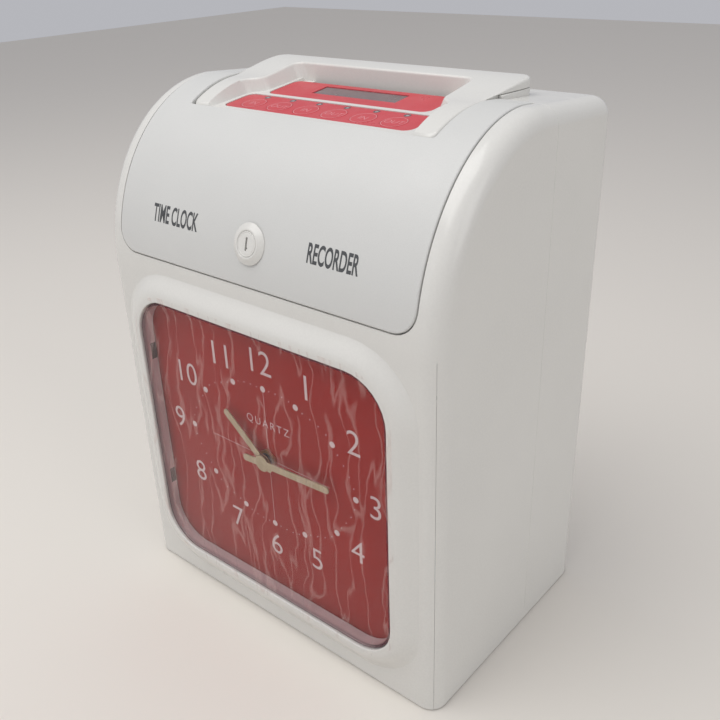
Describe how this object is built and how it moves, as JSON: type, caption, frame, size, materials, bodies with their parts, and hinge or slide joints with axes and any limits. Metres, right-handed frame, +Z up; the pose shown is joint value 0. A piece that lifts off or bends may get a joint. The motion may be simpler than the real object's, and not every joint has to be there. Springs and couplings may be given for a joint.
{
  "type": "punch time clock",
  "caption": "Office time recorder with a lidded white case, an analogue clock dial, a top card slot, push keys and an inner printing mechanism.",
  "frame": {"origin": "on the surface that the feet stand on, below the middle of the whole box", "axes": "+X to the right of someone facing the dial, +Y from the dial to the back, +Z up"},
  "size_m": [0.22, 0.1484, 0.294],
  "materials": {
    "case_white": "glossy moulded, slightly warm white",
    "lid_plastic": "fine matte texture, light grey-white",
    "carrier_white": "plain moulded white",
    "lens_clear": "clear, polished",
    "dial_red": "printed deep red, satin",
    "strip_red": "pinkish red printed film, satin",
    "hand_metal": "champagne anodised, brushed along",
    "brass": "turned",
    "zinc_steel": "zinc plated",
    "black_plastic": "fine matte",
    "motor_grey": "satin grey",
    "black_rubber": "matte",
    "board_green": "solder mask",
    "lcd_glass": "dark unlit liquid crystal pane",
    "ribbon_ink": "inked woven tape",
    "battery_sleeve": "shrink sleeve"
  },
  "bodies": {
    "case": {"base_plate": "zinc_steel", "battery_pack": "battery_sleeve", "card_chute_front": "zinc_steel", "card_chute_rear": "zinc_steel", "card_collar": "case_white", "carriage_motor": "motor_grey", "dial_carrier": "carrier_white", "dial_plate": "dial_red", "display_panel": "strip_red", "feed_belt": "black_rubber", "feed_motor": "motor_grey", "foot_front_left": "black_rubber", "foot_front_right": "black_rubber", "foot_rear_left": "black_rubber", "foot_rear_right": "black_rubber", "front_case": "case_white", "guide_shaft": "zinc_steel", "hinge_bracket_left": "zinc_steel", "hinge_bracket_right": "zinc_steel", "hinge_pin_left": "zinc_steel", "hinge_pin_right": "zinc_steel", "keypad_board": "board_green", "keypad_overlay": "strip_red", "lcd_module": "lcd_glass", "main_board": "board_green", "mech_side_left": "zinc_steel", "mech_side_right": "zinc_steel", "mech_tie_plate": "zinc_steel", "movement_nut": "brass", "power_inlet": "black_plastic", "quartz_movement": "black_plastic", "rear_cover": "case_white", "rear_screw_left": "zinc_steel", "rear_screw_right": "zinc_steel", "ribbon_band": "ribbon_ink", "ribbon_cassette": "black_plastic", "transformer": "zinc_steel", "window_lens": "lens_clear"},
    "lid": {"front_lid": "lid_plastic", "lock_barrel": "case_white", "lock_nut": "zinc_steel"},
    "lock": {"lock_plug": "case_white", "lock_cam": "zinc_steel"},
    "minute": {"minute_hand": "hand_metal"},
    "hour": {"hour_hand": "hand_metal"},
    "carriage": {"print_carriage": "black_plastic", "print_head": "black_plastic"},
    "screw": {"lead_screw": "zinc_steel"},
    "feed": {"feed_shaft": "zinc_steel", "feed_roller": "black_rubber", "feed_pulley": "black_plastic"},
    "pinch": {"pinch_roller": "black_rubber"},
    "motor": {"motor_pulley": "black_plastic"},
    "knob": {"ribbon_knob": "black_plastic"},
    "key_in_1": {"key_in_1": "strip_red"},
    "key_out_1": {"key_out_1": "strip_red"},
    "key_in_2": {"key_in_2": "strip_red"},
    "key_out_2": {"key_out_2": "strip_red"},
    "key_in_3": {"key_in_3": "strip_red"},
    "key_out_3": {"key_out_3": "strip_red"}
  },
  "joints": [
    {"name": "lid_hinge", "type": "hinge", "parent": "case", "child": "lid", "pos_m": [0, 0.0019, 0.28224], "axis": [-1, 0, 0], "range_deg": [0, 80]},
    {"name": "lock_turn", "type": "hinge", "parent": "lid", "child": "lock", "pos_m": [0, -0.0649, 0.228], "axis": [0, 0.9583, -0.2859], "range_deg": [0, 90]},
    {"name": "minute_turn", "type": "hinge", "parent": "case", "child": "minute", "pos_m": [0, -0.07085, 0.1095], "axis": [0, 1, 0], "continuous": true},
    {"name": "hour_turn", "type": "hinge", "parent": "case", "child": "hour", "pos_m": [0, -0.06945, 0.1095], "axis": [0, 1, 0], "continuous": true},
    {"name": "carriage_slide", "type": "slide", "parent": "case", "child": "carriage", "axis": [1, 0, 0], "range_m": [-0.026, 0.026]},
    {"name": "lead_screw_turn", "type": "hinge", "parent": "case", "child": "screw", "pos_m": [0, 0.01595, 0.216], "axis": [1, 0, 0], "range_deg": [-1175, 1175]},
    {"name": "feed_turn", "type": "hinge", "parent": "case", "child": "feed", "pos_m": [0, 0.03995, 0.185], "axis": [1, 0, 0], "continuous": true},
    {"name": "pinch_turn", "type": "hinge", "parent": "case", "child": "pinch", "pos_m": [0, 0.02435, 0.185], "axis": [1, 0, 0], "continuous": true},
    {"name": "motor_turn", "type": "hinge", "parent": "case", "child": "motor", "pos_m": [-0.0707, 0.00975, 0.15], "axis": [1, 0, 0], "continuous": true},
    {"name": "ribbon_turn", "type": "hinge", "parent": "case", "child": "knob", "pos_m": [-0.035, -0.03425, 0.254], "axis": [0, 0, 1], "continuous": true},
    {"name": "key_in_1_press", "type": "slide", "parent": "case", "child": "key_in_1", "axis": [0, 0.1253, -0.9921], "range_m": [0, 0.0006], "stiffness_N_per_m": 400},
    {"name": "key_out_1_press", "type": "slide", "parent": "case", "child": "key_out_1", "axis": [0, 0.1253, -0.9921], "range_m": [0, 0.0006], "stiffness_N_per_m": 400},
    {"name": "key_in_2_press", "type": "slide", "parent": "case", "child": "key_in_2", "axis": [0, 0.1253, -0.9921], "range_m": [0, 0.0006], "stiffness_N_per_m": 400},
    {"name": "key_out_2_press", "type": "slide", "parent": "case", "child": "key_out_2", "axis": [0, 0.1253, -0.9921], "range_m": [0, 0.0006], "stiffness_N_per_m": 400},
    {"name": "key_in_3_press", "type": "slide", "parent": "case", "child": "key_in_3", "axis": [0, 0.1253, -0.9921], "range_m": [0, 0.0006], "stiffness_N_per_m": 400},
    {"name": "key_out_3_press", "type": "slide", "parent": "case", "child": "key_out_3", "axis": [0, 0.1253, -0.9921], "range_m": [0, 0.0006], "stiffness_N_per_m": 400}
  ],
  "couplings": [
    {"joint": "hour_turn", "follows": "minute_turn", "ratio": 0.083333},
    {"joint": "lead_screw_turn", "follows": "carriage_slide", "rad_per_m": 785.4},
    {"joint": "pinch_turn", "follows": "feed_turn", "ratio": -1.5},
    {"joint": "motor_turn", "follows": "feed_turn", "ratio": 2}
  ]
}
